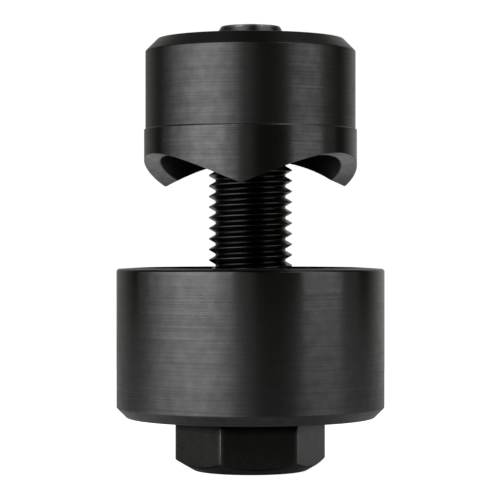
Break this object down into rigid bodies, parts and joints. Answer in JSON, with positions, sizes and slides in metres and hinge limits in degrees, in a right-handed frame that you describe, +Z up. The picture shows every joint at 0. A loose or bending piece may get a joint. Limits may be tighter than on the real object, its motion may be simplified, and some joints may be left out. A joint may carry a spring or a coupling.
{
  "type": "screw-driven knockout punch",
  "caption": "Hand knockout punch: a toothed ring punch screwed onto a hex-head draw bolt above a cup-shaped die, for cutting round holes in sheet metal.",
  "frame": {"origin": "centre of the outer face of the bolt's hex head, which the tool stands on", "axes": "+Z up along the draw bolt, from its head to its tip; -Y square to a flat of the hex head; +X along a corner of the head"},
  "size_m": [0.038, 0.038, 0.0628],
  "materials": {
    "bolt_black_oxide": "black oxide, oiled, fine machining marks",
    "die_black_oxide": "black oxide over fine turning marks, satin",
    "punch_black_oxide": "black oxide over fine turning marks, satin, ground tooth flanks"
  },
  "bodies": {
    "die": {"die": "die_black_oxide"},
    "draw_bolt": {"draw_bolt": "bolt_black_oxide"},
    "punch": {"punch": "punch_black_oxide"}
  },
  "joints": [
    {"name": "bolt_turn", "type": "hinge", "parent": "die", "child": "draw_bolt", "pos_m": [0, 0, 0.0075], "axis": [0, 0, 1], "range_deg": [-2161, 6121]},
    {"name": "punch_travel", "type": "slide", "parent": "die", "child": "punch", "axis": [0, 0, -1], "range_m": [-0.009, 0.0255]}
  ],
  "couplings": [
    {"joint": "bolt_turn", "follows": "punch_travel", "rad_per_m": 4188.8}
  ]
}
